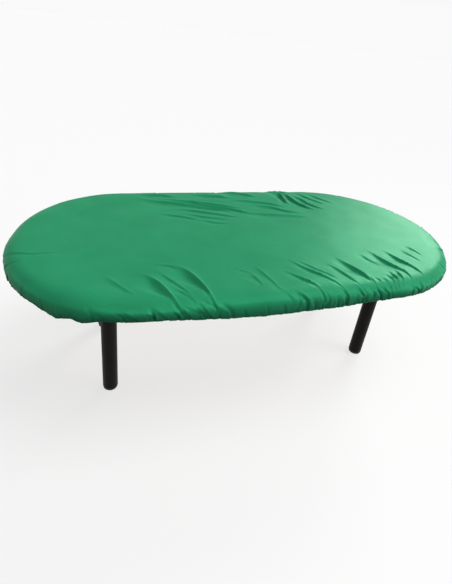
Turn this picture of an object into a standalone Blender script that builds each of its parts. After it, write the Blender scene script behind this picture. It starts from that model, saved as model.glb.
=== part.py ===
"""Oval poker table under a fitted stretch cover, on four legs that fold. Metres, +Z up.

The origin is on the floor, below the middle of the table. +X runs along its length
and +Y across it. Front is -Y, back is +Y, left is -X and right is +X.
"""

import math

import bmesh
import bpy
from mathutils import Matrix

# The covered table.
LENGTH = 2.440
WIDTH = 1.250
HEIGHT = 0.755
GAP = 0.0003  # between pieces that touch

# The fitted cover and the elastic in its hem.
COVER_THICK = 0.003
COVER_DEPTH = 0.088
COVER_EDGE_RADIUS = 0.030
ELASTIC_RADIUS = 0.0025
ELASTIC_LIFT = 0.0005  # hem edge to the elastic
RAIL_STEP_IN = 0.014  # side of the cover to the side of the rail

# The padded rail.
RAIL_WIDTH = 0.110
RAIL_EDGE_RADIUS = 0.022
VINYL_THICK = 0.002
RING_THICK = 0.018

# The deck and the playing surface on it.
DECK_THICK = 0.018
DECK_BOTTOM = 0.680
DECK_STEP_IN = 0.002  # side of the rail to the edge of the deck
PLAYING_FOAM_THICK = 0.005
PLAYING_CLOTH_THICK = 0.0015
BATTEN_LENGTH = 1.200
BATTEN_WIDTH = 0.020
BATTEN_DEPTH = 0.040
BATTEN_Y = 0.400

# The legs. Heights named below are measured from the fold pivot.
LEG_X = 0.762
LEG_Y = 0.262
LEG_RADIUS = 0.0385
LEG_WALL = 0.002
PIVOT_DROP = 0.045  # underside of the deck to the fold pivot
PIVOT_RADIUS = 0.005
PIVOT_HOLE_RADIUS = 0.0053
TONGUE_HALF_X = 0.016
TONGUE_HALF_Y = 0.020
FLANGE_TOP = -0.031
FLANGE_THICK = 0.004
PLUG_DEPTH = 0.030

# The bracket that each leg folds in.
STEEL_THICK = 0.004
PLATE_SIDE = 0.110
EAR_RADIUS = 0.018
EAR_INNER_TOP = 0.026
EAR_CLEARANCE = 0.0005
STOP_REACH = 0.034  # pivot to the outer face of the stop web
STOP_CLEARANCE = 0.0005
STOP_FOOT = 0.012
SCREW_SPREAD = 0.042
SCREW_RADIUS = 0.0025
SCREW_HOLE_RADIUS = 0.0030
SCREW_HEAD_RADIUS = 0.005
SCREW_HEAD_THICK = 0.003
SCREW_GRIP = 0.013  # into the deck
HEAD_GRIP = 0.006  # length of the pivot bolt's head and of its nut
HEAD_RADIUS = 0.009

# The pull pin that locks the leg open.
PIN_HEIGHT = -0.018
PIN_RADIUS = 0.005
PIN_HOLE_RADIUS = 0.0054
PIN_TIP = 0.0165  # pivot to the tip
PIN_CHAMFER = 0.001
BOSS_RADIUS = 0.009
BOSS_END = 0.050
KNOB_RADIUS = 0.011
KNOB_START = 0.0505
KNOB_LENGTH = 0.015
KNOB_CHAMFER = 0.001
NOTCH_DEPTH = 0.006

# The levelling foot.
PAD_RADIUS = 0.0360
PAD_THICK = 0.012
PAD_CHAMFER = 0.003
STEM_RADIUS = 0.005
STEM_TOP = 0.060
STEM_HOLE_RADIUS = 0.0056
CAP_THICK = 0.003

# The bolts that hold the rail down.
RAIL_BOLT_RADIUS = 0.004
RAIL_BOLT_HOLE_RADIUS = 0.0047
RAIL_BOLT_HEAD_RADIUS = 0.010
RAIL_BOLT_HEAD_THICK = 0.005
RAIL_BOLT_GRIP = 0.012  # into the ring
RAIL_BOLT_X = 0.420

# How finely round shapes are cut.
END_STEPS = 20
TUBE_STEPS = 20
SMALL_STEPS = 12
SCREW_STEPS = 8
CORNER_STEPS = 3
ELASTIC_STEPS = 6
CUT_PAST = 0.002  # how far a cutter runs past the wall it cuts

# Heights that follow from the sizes above.
HEM = HEIGHT - COVER_DEPTH
DECK_TOP = DECK_BOTTOM + DECK_THICK
RING_BOTTOM = DECK_TOP + GAP
RING_TOP = RING_BOTTOM + RING_THICK
CROWN = HEIGHT - COVER_THICK - GAP
RAIL_INNER_SIDE = RAIL_STEP_IN + RAIL_WIDTH
RAIL_MIDDLE = RAIL_STEP_IN + RAIL_WIDTH / 2
PIVOT_Z = DECK_BOTTOM - PIVOT_DROP
PLATE_TOP = PIVOT_DROP - GAP
PLATE_BOTTOM = PLATE_TOP - STEEL_THICK
FLANGE_BOTTOM = FLANGE_TOP - FLANGE_THICK
BORE_RADIUS = LEG_RADIUS - LEG_WALL
FOOT_CAP_BOTTOM = PAD_THICK + GAP
TUBE_BOTTOM = FOOT_CAP_BOTTOM + CAP_THICK + GAP

MATERIALS = {
    "cover_fabric": ((0.026, 0.270, 0.127), 0.45, 0.0),
    "elastic": ((0.80, 0.80, 0.78), 0.8, 0.0),
    "rail_vinyl": ((0.018, 0.018, 0.020), 0.45, 0.0),
    "foam": ((0.55, 0.55, 0.58), 0.9, 0.0),
    "playing_cloth": ((0.010, 0.150, 0.070), 0.85, 0.0),
    "plywood": ((0.55, 0.38, 0.22), 0.6, 0.0),
    "batten_wood": ((0.48, 0.33, 0.19), 0.65, 0.0),
    "leg_paint": ((0.012, 0.011, 0.010), 0.4, 0.5),
    "bracket_paint": ((0.020, 0.020, 0.020), 0.5, 0.5),
    "zinc": ((0.62, 0.62, 0.60), 0.35, 1.0),
    "black_plastic": ((0.015, 0.015, 0.015), 0.55, 0.0),
    "foot_rubber": ((0.020, 0.020, 0.020), 0.8, 0.0),
}
CORNERS = [(x, y) for x in (-1, 1) for y in (-1, 1)]


def clear_scene():
    for item in list(bpy.data.objects):
        bpy.data.objects.remove(item)


def material_of(name):
    found = bpy.data.materials.get(name)
    if found:
        return found
    colour, roughness, metallic = MATERIALS[name]
    made = bpy.data.materials.new(name)
    made.use_nodes = True
    shader = made.node_tree.nodes["Principled BSDF"]
    shader.inputs["Base Color"].default_value = (*colour, 1.0)
    shader.inputs["Roughness"].default_value = roughness
    shader.inputs["Metallic"].default_value = metallic
    return made


def place(name, mesh, slot, location=(0, 0, 0), parent=None):
    """Put a mesh in the scene as a named piece with its own material."""
    if not mesh.materials:
        mesh.materials.append(material_of(slot))
    mesh.shade_smooth()
    mesh.set_sharp_from_angle(angle=math.radians(35))
    piece = bpy.data.objects.new(name, mesh)
    piece.location = location
    piece.parent = parent
    bpy.context.collection.objects.link(piece)
    return piece


# ---- outlines ----


def oval(inset, z):
    """The table's outline moved in by inset: two half circles and two straight sides."""
    radius = WIDTH / 2 - inset
    reach = (LENGTH - WIDTH) / 2
    points = []
    for centre, start in ((reach, -math.pi / 2), (-reach, math.pi / 2)):
        for step in range(END_STEPS + 1):
            angle = start + math.pi * step / END_STEPS
            across = radius * math.sin(angle)
            points.append((centre + radius * math.cos(angle), across, z))
    return points


def circle(radius, z, steps):
    turns = [math.tau * step / steps for step in range(steps)]
    return [(radius * math.cos(turn), radius * math.sin(turn), z) for turn in turns]


def corner(centre, radius, start, end, steps):
    """Points of a round corner in a profile, from one angle in degrees to another."""
    points = []
    for step in range(steps + 1):
        angle = math.radians(start + (end - start) * step / steps)
        across = centre[0] + radius * math.cos(angle)
        points.append((across, centre[1] + radius * math.sin(angle)))
    return points


# ---- bodies ----


def skinned(rings, closed=False):
    """A closed body through rings of points. Its two ends are filled, or meet if closed."""
    shape = bmesh.new()
    loops = [[shape.verts.new(point) for point in ring] for ring in rings]
    pairs = list(zip(loops, loops[1:]))
    if closed:
        pairs.append((loops[-1], loops[0]))
    else:
        shape.faces.new(loops[0])
        shape.faces.new(loops[-1])
    for low, high in pairs:
        for i in range(len(low)):
            j = (i + 1) % len(low)
            shape.faces.new((low[i], low[j], high[j], high[i]))
    bmesh.ops.recalc_face_normals(shape, faces=shape.faces)
    return finished(shape)


def finished(shape):
    mesh = bpy.data.meshes.new("shape")
    shape.to_mesh(mesh)
    shape.free()
    return mesh


def turned(profile, steps, closed=False):
    """A body turned about Z from (radius, z) pairs."""
    return skinned([circle(radius, z, steps) for radius, z in profile], closed)


def along_y(mesh):
    mesh.transform(Matrix.Rotation(math.radians(-90), 4, "X"))
    return mesh


def along_x(mesh):
    """Lay a turned body along X, its top towards -X."""
    mesh.transform(Matrix.Rotation(math.radians(-90), 4, "Y"))
    return mesh


def moved(mesh, offset):
    mesh.transform(Matrix.Translation(offset))
    return mesh


def block(low, high):
    """A box between two corners."""
    corners = [(low[0], low[1]), (high[0], low[1]), (high[0], high[1]), (low[0], high[1])]
    return skinned([[(x, y, z) for x, y in corners] for z in (low[2], high[2])])


def slab_in_y(outline, y_low, y_high):
    """An (x, z) outline made solid from y_low to y_high."""
    return skinned([[(x, y, z) for x, z in outline] for y in (y_low, y_high)])


def together(meshes):
    """Several separate bodies in one mesh, for use as one cutter."""
    shape = bmesh.new()
    for mesh in meshes:
        shape.from_mesh(mesh)
    return finished(shape)


def combined(base, additions=(), cuts=()):
    """The base joined with the additions and then cut by the cuts, as one new mesh."""
    body = bpy.data.objects.new("body", base)
    helpers = []
    for meshes, operation in ((additions, "UNION"), (cuts, "DIFFERENCE")):
        for mesh in meshes:
            helper = bpy.data.objects.new("helper", mesh)
            modifier = body.modifiers.new(operation, "BOOLEAN")
            modifier.operation = operation
            modifier.solver = "EXACT"
            modifier.object = helper
            helpers.append(helper)
    for item in (body, *helpers):
        bpy.context.collection.objects.link(item)
    depsgraph = bpy.context.evaluated_depsgraph_get()
    mesh = bpy.data.meshes.new_from_object(body.evaluated_get(depsgraph))
    for item in (body, *helpers):
        bpy.data.objects.remove(item)
    return mesh


# ---- the cover ----


def pan_rings(step_in):
    """Rings of an upturned pan, step_in inside the cover's outer skin."""
    radius = COVER_EDGE_RADIUS - step_in
    rings = [oval(step_in, HEM)]
    centre = (COVER_EDGE_RADIUS, HEIGHT - COVER_EDGE_RADIUS)
    for across, z in corner(centre, radius, 180, 90, CORNER_STEPS + 1):
        rings.append(oval(across, z))
    return rings


def make_cover():
    outside = pan_rings(0)
    inside = pan_rings(COVER_THICK)
    place("cover_sheet", skinned(inside[::-1] + outside), "cover_fabric")


def make_hem_elastic():
    centre = COVER_THICK + GAP + ELASTIC_RADIUS
    height = HEM + ELASTIC_LIFT + ELASTIC_RADIUS
    rings = []
    section = corner((centre, height), ELASTIC_RADIUS, 0, 360, ELASTIC_STEPS)[:-1]
    for across, z in section:
        rings.append(oval(across, z))
    place("hem_elastic", skinned(rings, closed=True), "elastic")


# ---- the padded rail ----


def rail_arch(step_in, bottom):
    """Round-shouldered section of the rail, step_in inside its outer skin."""
    radius = RAIL_EDGE_RADIUS - step_in
    outer_side = RAIL_STEP_IN + step_in
    inner_side = RAIL_INNER_SIDE - step_in
    shoulder = CROWN - RAIL_EDGE_RADIUS
    outer = corner((RAIL_STEP_IN + RAIL_EDGE_RADIUS, shoulder), radius, 180, 90, CORNER_STEPS)
    inner = corner((RAIL_INNER_SIDE - RAIL_EDGE_RADIUS, shoulder), radius, 90, 0, CORNER_STEPS)
    return [(outer_side, bottom), *outer, *inner, (inner_side, bottom)]


def swept(section):
    """A closed section of (inset, z) points carried round the table."""
    return skinned([oval(inset, z) for inset, z in section], closed=True)


def make_rail():
    skin = rail_arch(0, RING_BOTTOM) + rail_arch(VINYL_THICK, RING_BOTTOM)[::-1]
    place("rail_vinyl", swept(skin), "rail_vinyl")
    foam = rail_arch(VINYL_THICK + GAP, RING_TOP + GAP)
    place("rail_foam", swept(foam), "foam")
    low = RAIL_STEP_IN + VINYL_THICK + GAP
    high = RAIL_INNER_SIDE - VINYL_THICK - GAP
    section = [(low, RING_BOTTOM), (low, RING_TOP), (high, RING_TOP), (high, RING_BOTTOM)]
    depth = RAIL_BOLT_GRIP + GAP
    holes = bolt_holes(RING_BOTTOM - CUT_PAST, RING_BOTTOM + depth)
    place("rail_ring", combined(swept(section), cuts=[holes]), "plywood")


def rail_bolt_places():
    side = WIDTH / 2 - RAIL_MIDDLE
    end = LENGTH / 2 - RAIL_MIDDLE
    return {
        "front_left": (-RAIL_BOLT_X, -side),
        "front_right": (RAIL_BOLT_X, -side),
        "back_left": (-RAIL_BOLT_X, side),
        "back_right": (RAIL_BOLT_X, side),
        "left_end": (-end, 0),
        "right_end": (end, 0),
    }


def bolt_holes(bottom, top):
    drills = []
    for x, y in rail_bolt_places().values():
        profile = [(RAIL_BOLT_HOLE_RADIUS, bottom), (RAIL_BOLT_HOLE_RADIUS, top)]
        drills.append(moved(turned(profile, SCREW_STEPS), (x, y, 0)))
    return together(drills)


def make_rail_bolts():
    head_top = DECK_BOTTOM - GAP
    profile = [
        (RAIL_BOLT_HEAD_RADIUS, head_top - RAIL_BOLT_HEAD_THICK),
        (RAIL_BOLT_HEAD_RADIUS, head_top),
        (RAIL_BOLT_RADIUS, head_top),
        (RAIL_BOLT_RADIUS, RING_BOTTOM + RAIL_BOLT_GRIP),
    ]
    mesh = turned(profile, SCREW_STEPS)
    for name, (x, y) in rail_bolt_places().items():
        place(f"rail_bolt_{name}", mesh, "zinc", (x, y, 0))


# ---- the deck and the playing surface ----


def oval_board(inset, bottom, top):
    return skinned([oval(inset, bottom), oval(inset, top)])


def screw_places():
    """Where the brackets' screws stand, as (leg corner, number, x, y)."""
    for side_x, side_y in CORNERS:
        for number, (x, y) in enumerate(CORNERS, start=1):
            across_x = side_x * LEG_X + x * SCREW_SPREAD
            yield (side_x, side_y), number, across_x, side_y * LEG_Y + y * SCREW_SPREAD


def make_deck():
    board = oval_board(RAIL_STEP_IN + DECK_STEP_IN, DECK_BOTTOM, DECK_TOP)
    pilots = []
    for _, _, x, y in screw_places():
        profile = [
            (SCREW_HOLE_RADIUS, DECK_BOTTOM - CUT_PAST),
            (SCREW_HOLE_RADIUS, DECK_BOTTOM + SCREW_GRIP + GAP),
        ]
        pilots.append(moved(turned(profile, SCREW_STEPS), (x, y, 0)))
    through = bolt_holes(DECK_BOTTOM - CUT_PAST, DECK_TOP + CUT_PAST)
    mesh = combined(board, cuts=[together(pilots), through])
    place("deck_board", mesh, "plywood")


def make_playing_surface():
    inset = RAIL_INNER_SIDE + GAP
    foam_top = DECK_TOP + GAP + PLAYING_FOAM_THICK
    place("playing_foam", oval_board(inset, DECK_TOP + GAP, foam_top), "foam")
    cloth_top = foam_top + GAP + PLAYING_CLOTH_THICK
    place("playing_cloth", oval_board(inset, foam_top + GAP, cloth_top), "playing_cloth")


def make_battens():
    top = DECK_BOTTOM - GAP
    half = (BATTEN_LENGTH / 2, BATTEN_WIDTH / 2)
    mesh = block((-half[0], -half[1], top - BATTEN_DEPTH), (half[0], half[1], top))
    for name, side in (("front", -1), ("back", 1)):
        place(f"batten_{name}", mesh, "batten_wood", (0, side * BATTEN_Y, 0))


# ---- one leg, built about its fold pivot, its outer side towards -X ----


def drill_along_y(radius, half_length):
    return along_y(turned([(radius, -half_length), (radius, half_length)], SMALL_STEPS))


def drill_along_x(radius, near, far):
    """A cutter for the pull pin, from near to far on the outer side of the pivot."""
    drill = along_x(turned([(radius, near), (radius, far)], SMALL_STEPS))
    return moved(drill, (0, 0, PIN_HEIGHT))


def leg_head_mesh():
    """Plug in the top of the tube, with the tongue that turns on the pivot."""
    plug_radius = BORE_RADIUS - GAP
    profile = [
        (plug_radius, FLANGE_BOTTOM - PLUG_DEPTH),
        (plug_radius, FLANGE_BOTTOM),
        (LEG_RADIUS, FLANGE_BOTTOM),
        (LEG_RADIUS, FLANGE_TOP),
    ]
    root = FLANGE_TOP - FLANGE_THICK / 2
    outline = [(-TONGUE_HALF_X, root), (TONGUE_HALF_X, root)]
    outline += corner((0, 0), TONGUE_HALF_X, 0, 180, 2 * CORNER_STEPS)
    tongue = slab_in_y(outline, -TONGUE_HALF_Y, TONGUE_HALF_Y)
    pivot_hole = drill_along_y(PIVOT_HOLE_RADIUS, TONGUE_HALF_Y + CUT_PAST)
    notch_end = TONGUE_HALF_X + CUT_PAST
    notch = drill_along_x(PIN_HOLE_RADIUS, TONGUE_HALF_X - NOTCH_DEPTH, notch_end)
    return combined(turned(profile, TUBE_STEPS), [tongue], [pivot_hole, notch])


def leg_tube_mesh():
    top = FLANGE_BOTTOM - GAP
    bottom = TUBE_BOTTOM - PIVOT_Z
    wall = [(BORE_RADIUS, bottom), (LEG_RADIUS, bottom), (LEG_RADIUS, top), (BORE_RADIUS, top)]
    return turned(wall, TUBE_STEPS, closed=True)


def foot_cap_mesh():
    """Cap in the foot of the tube, with the hole for the levelling stem."""
    bottom = FOOT_CAP_BOTTOM - PIVOT_Z
    shoulder = bottom + CAP_THICK
    plug_radius = BORE_RADIUS - GAP
    wall = [
        (STEM_HOLE_RADIUS, bottom),
        (LEG_RADIUS, bottom),
        (LEG_RADIUS, shoulder),
        (plug_radius, shoulder),
        (plug_radius, shoulder + PLUG_DEPTH),
        (STEM_HOLE_RADIUS, shoulder + PLUG_DEPTH),
    ]
    return turned(wall, TUBE_STEPS, closed=True)


def pivot_bolt_mesh():
    """Bolt through both ears and the tongue, with its head and its nut."""
    grip = TONGUE_HALF_Y + EAR_CLEARANCE + STEEL_THICK + GAP
    profile = [
        (HEAD_RADIUS, -grip - HEAD_GRIP),
        (HEAD_RADIUS, -grip),
        (PIVOT_RADIUS, -grip),
        (PIVOT_RADIUS, grip),
        (HEAD_RADIUS, grip),
        (HEAD_RADIUS, grip + HEAD_GRIP),
    ]
    return along_y(turned(profile, SMALL_STEPS))


def ear_outline():
    foot = FLANGE_TOP + STOP_CLEARANCE
    root = PLATE_BOTTOM + STEEL_THICK / 2
    outline = [(-STOP_REACH, root), (-STOP_REACH, foot), (-STOP_FOOT, foot)]
    outline += corner((0, 0), EAR_RADIUS, -90, 0, CORNER_STEPS)
    return outline + [(EAR_INNER_TOP, root)]


def bracket_mesh():
    """Screwed plate with two ears for the pivot and a web that stops the leg upright."""
    half = PLATE_SIDE / 2
    plate = block((-half, -half, PLATE_BOTTOM), (half, half, PLATE_TOP))
    inner = TONGUE_HALF_Y + EAR_CLEARANCE
    outer = inner + STEEL_THICK
    ears = [slab_in_y(ear_outline(), *sides) for sides in ((inner, outer), (-outer, -inner))]
    web_foot = FLANGE_TOP + STOP_CLEARANCE
    web_top = PLATE_BOTTOM + STEEL_THICK / 2
    web_inner = -STOP_REACH + STEEL_THICK
    tuck = inner + STEEL_THICK / 2
    web = block((-STOP_REACH, -tuck, web_foot), (web_inner, tuck, web_top))
    boss_start = STOP_REACH - STEEL_THICK / 2
    boss = along_x(turned([(BOSS_RADIUS, boss_start), (BOSS_RADIUS, BOSS_END)], SMALL_STEPS))
    boss = moved(boss, (0, 0, PIN_HEIGHT))
    pivot_hole = drill_along_y(PIVOT_HOLE_RADIUS, outer + CUT_PAST)
    pin_start = STOP_REACH - STEEL_THICK - CUT_PAST
    pin_hole = drill_along_x(PIN_HOLE_RADIUS, pin_start, BOSS_END + CUT_PAST)
    drills = []
    for x, y in CORNERS:
        profile = [
            (SCREW_HOLE_RADIUS, PLATE_BOTTOM - CUT_PAST),
            (SCREW_HOLE_RADIUS, PLATE_TOP + CUT_PAST),
        ]
        drill = turned(profile, SCREW_STEPS)
        drills.append(moved(drill, (x * SCREW_SPREAD, y * SCREW_SPREAD, 0)))
    cuts = [pivot_hole, pin_hole, together(drills)]
    return combined(plate, [*ears, web, boss], cuts)


def pull_pin_mesh():
    """Sprung pin with a knob, turned along X and centred on its own axis."""
    knob_end = KNOB_START + KNOB_LENGTH
    round_off = (KNOB_RADIUS - PIN_RADIUS) / 2
    profile = [
        (PIN_RADIUS - PIN_CHAMFER, PIN_TIP),
        (PIN_RADIUS, PIN_TIP + PIN_CHAMFER),
        (PIN_RADIUS, KNOB_START),
        (KNOB_RADIUS - KNOB_CHAMFER, KNOB_START),
        (KNOB_RADIUS, KNOB_START + KNOB_CHAMFER),
        (KNOB_RADIUS, knob_end - round_off),
        (KNOB_RADIUS - round_off, knob_end),
    ]
    return along_x(turned(profile, SMALL_STEPS))


def levelling_foot_mesh():
    profile = [
        (PAD_RADIUS - PAD_CHAMFER, 0),
        (PAD_RADIUS, PAD_CHAMFER),
        (PAD_RADIUS, PAD_THICK - PAD_CHAMFER / 2),
        (PAD_RADIUS - PAD_CHAMFER / 2, PAD_THICK),
        (STEM_RADIUS, PAD_THICK),
        (STEM_RADIUS, STEM_TOP),
    ]
    return turned(profile, TUBE_STEPS)


def screw_mesh():
    head_top = DECK_BOTTOM - PIVOT_DROP + PLATE_BOTTOM - GAP
    profile = [
        (SCREW_HEAD_RADIUS, head_top - SCREW_HEAD_THICK),
        (SCREW_HEAD_RADIUS, head_top),
        (SCREW_RADIUS, head_top),
        (SCREW_RADIUS, DECK_BOTTOM + SCREW_GRIP),
    ]
    return turned(profile, SCREW_STEPS)


def corner_name(side_x, side_y):
    depth = "front" if side_y < 0 else "back"
    return f"{depth}_{'left' if side_x < 0 else 'right'}"


def make_legs():
    meshes = {
        "bracket": (bracket_mesh(), "bracket_paint"),
        "pivot_bolt": (pivot_bolt_mesh(), "zinc"),
        "leg_head": (leg_head_mesh(), "bracket_paint"),
        "leg_tube": (leg_tube_mesh(), "leg_paint"),
        "foot_cap": (foot_cap_mesh(), "black_plastic"),
    }
    pin = pull_pin_mesh()
    foot = levelling_foot_mesh()
    for side_x, side_y in CORNERS:
        corner_label = corner_name(side_x, side_y)
        pivot = bpy.data.objects.new(f"pivot_{corner_label}", None)
        pivot.location = (side_x * LEG_X, side_y * LEG_Y, PIVOT_Z)
        pivot.rotation_euler.z = 0 if side_x < 0 else math.pi
        bpy.context.collection.objects.link(pivot)
        for piece, (mesh, slot) in meshes.items():
            place(f"{piece}_{corner_label}", mesh, slot, parent=pivot)
        place(f"pull_pin_{corner_label}", pin, "zinc", (0, 0, PIN_HEIGHT), pivot)
        place(f"levelling_foot_{corner_label}", foot, "foot_rubber", (0, 0, -PIVOT_Z), pivot)


def make_screws():
    mesh = screw_mesh()
    for sides, number, x, y in screw_places():
        place(f"screw_{corner_name(*sides)}_{number}", mesh, "zinc", (x, y, 0))


clear_scene()
make_cover()
make_hem_elastic()
make_rail()
make_rail_bolts()
make_deck()
make_playing_surface()
make_battens()
make_legs()
make_screws()
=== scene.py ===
"""Looks of an oval poker table under a fitted satin cover. Metres, +Z up.

At rest only the cover and the legs show. Under the cover, seen when it lifts, are a
padded rail, a playing cloth and a plywood deck, and below the deck four folding legs.
"""

import math
import random

import bmesh
import bpy
import numpy as np
from mathutils import Matrix, Vector
from mathutils.geometry import delaunay_2d_cdt


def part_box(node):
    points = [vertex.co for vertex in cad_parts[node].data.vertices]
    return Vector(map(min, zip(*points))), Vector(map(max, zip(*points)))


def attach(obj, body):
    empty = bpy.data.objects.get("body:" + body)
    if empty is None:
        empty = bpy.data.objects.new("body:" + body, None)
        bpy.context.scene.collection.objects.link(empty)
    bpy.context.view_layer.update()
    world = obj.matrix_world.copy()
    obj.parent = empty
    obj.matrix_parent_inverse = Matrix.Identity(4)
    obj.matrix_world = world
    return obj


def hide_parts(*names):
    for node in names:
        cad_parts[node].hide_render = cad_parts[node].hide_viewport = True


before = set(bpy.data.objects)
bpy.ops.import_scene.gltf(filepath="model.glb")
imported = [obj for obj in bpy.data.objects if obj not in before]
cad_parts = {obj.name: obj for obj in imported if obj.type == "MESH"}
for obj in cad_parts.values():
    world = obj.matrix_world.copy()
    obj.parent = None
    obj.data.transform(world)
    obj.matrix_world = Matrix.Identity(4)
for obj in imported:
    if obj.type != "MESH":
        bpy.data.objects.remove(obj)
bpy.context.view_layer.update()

# ---- sizes read from the frame ----

COVER_LOW, COVER_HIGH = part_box("cover_sheet")
_, RAIL_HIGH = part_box("rail_vinyl")
CLOTH_LOW, CLOTH_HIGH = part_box("playing_cloth")
CORNERS = ("front_left", "front_right", "back_left", "back_right")
AIR = 0.0003  # between pieces that touch

RADIUS = COVER_HIGH.y  # of the cover's round ends
REACH = COVER_HIGH.x - RADIUS  # from the middle to the centre of a round end
PERIMETER = 4 * REACH + math.tau * RADIUS
TOP = COVER_HIGH.z
RAIL_SIDE = RADIUS - RAIL_HIGH.y  # inset of the rail's outer side
RAIL_INNER = RADIUS - CLOTH_HIGH.y - AIR  # inset of the rail's inner side
RAIL_HALF = (RAIL_INNER - RAIL_SIDE) / 2
RAIL_MIDDLE = RAIL_SIDE + RAIL_HALF
RAIL_DOME = 0.040  # height of its padded dome
RAIL_TOP = RAIL_HIGH.z - 0.002  # a little lower than the plain solid's

# ---- the cover ----

HEM = COVER_LOW.z + 0.0035  # the sheet's own edge, in the middle of its casing
EDGE_INSET = 0.095  # where the flat of the sheet ends and its edge begins
# How the sheet bends over the rail, as distance along it and degrees of tilt: where it is
# slack it rounds off evenly, where it is tight or drawn it slopes and then turns sharply,
# and where it is square it stays flat as far as the rim.
BENDS = {
    "slack": [(0.0, 0), (0.030, 12), (0.070, 42), (0.105, 80), (0.130, 95), (0.20, 99)],
    "tight": [(0.0, 0), (0.040, 21), (0.080, 32), (0.100, 80), (0.120, 96), (0.20, 100)],
    "drawn": [(0.0, 0), (0.035, 10), (0.075, 25), (0.094, 31), (0.106, 84), (0.120, 95),
              (0.20, 99)],
    "square": [(0.0, 0), (0.066, 4), (0.090, 50), (0.105, 86), (0.125, 95), (0.20, 98)],
}
BEND_EASE = 0.012  # length over which one bend runs into the next
EDGE_STEP = 0.0005  # of the profile while it is worked out
EDGE_STEPS = 160  # samples of the finished profile
SKIRT_START = 0.45  # share of the edge's length above the skirt
TOP_TILT = 1.2  # radians; up to this tilt the sheet rests on the rail
SHEET_THICK = 0.0007
SAG = 0.004  # of the sheet, inside the rail
SAG_START = 0.100  # inset where the sag starts
SAG_FULL = 0.250
RAIL_SPARE = 0.0012  # least gap between the sheet and the rail
RIM_SAMPLES = 1080
RIM_ROWS = 22
RIM_INNER = 0.092  # inset of the innermost row of the rim band
FINE_STEP = 0.0050  # triangle size beside a fold; it doubles twice away from the folds
# How far the finest and the middling triangles reach: past a fold, in its own half widths,
# and in from the rim band, in steps.
FINE_REACH, MIDDLING_REACH = 0.75, 2.2
FINE_RIM, MIDDLING_RIM = 1.6, 5
FINE_SHIFT = 0.3  # of the fine strip from the crest towards the right, in half widths
STRIP_MARGIN = 2.6
HEM_BAND_RADIUS = 0.0034
HEM_BAND_SIDES = 9
SWELL_KEPT, SWELL_CHANGE = 0.6, 0.30  # how the casing's thickness wanders along the hem
PAINTED_HEM_SHADE = (0.006, 0.052)  # painted shade that darkens the skirt above the hem: its distances from the hem, where it is full and where it fades

# How every fold is shaped. Along its line, from 0 to 1, it rises, narrows and dies away; one
# that ends beyond HEM_REACH runs on over the hem. Across it, in half widths, the crest falls
# over FLANK into the trough, and its other side is a sharp ridge on a broad swell.
FOLD_RISE = 0.45
NARROW_START, NARROW_LENGTH = 0.25, 0.45
END_LENGTH = 0.3
HEM_REACH = 0.66
HEM_END, HEM_END_LENGTH = 1.1, 0.4
SIZE_POWER = 0.6  # how fast a fold gets lower as it narrows
FLANK, TROUGH_WIDTH = 0.85, 2
RIDGE_SHARE, RIDGE_WIDTH, SWELL_WIDTH = 0.7, 0.25, 0.9

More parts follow.
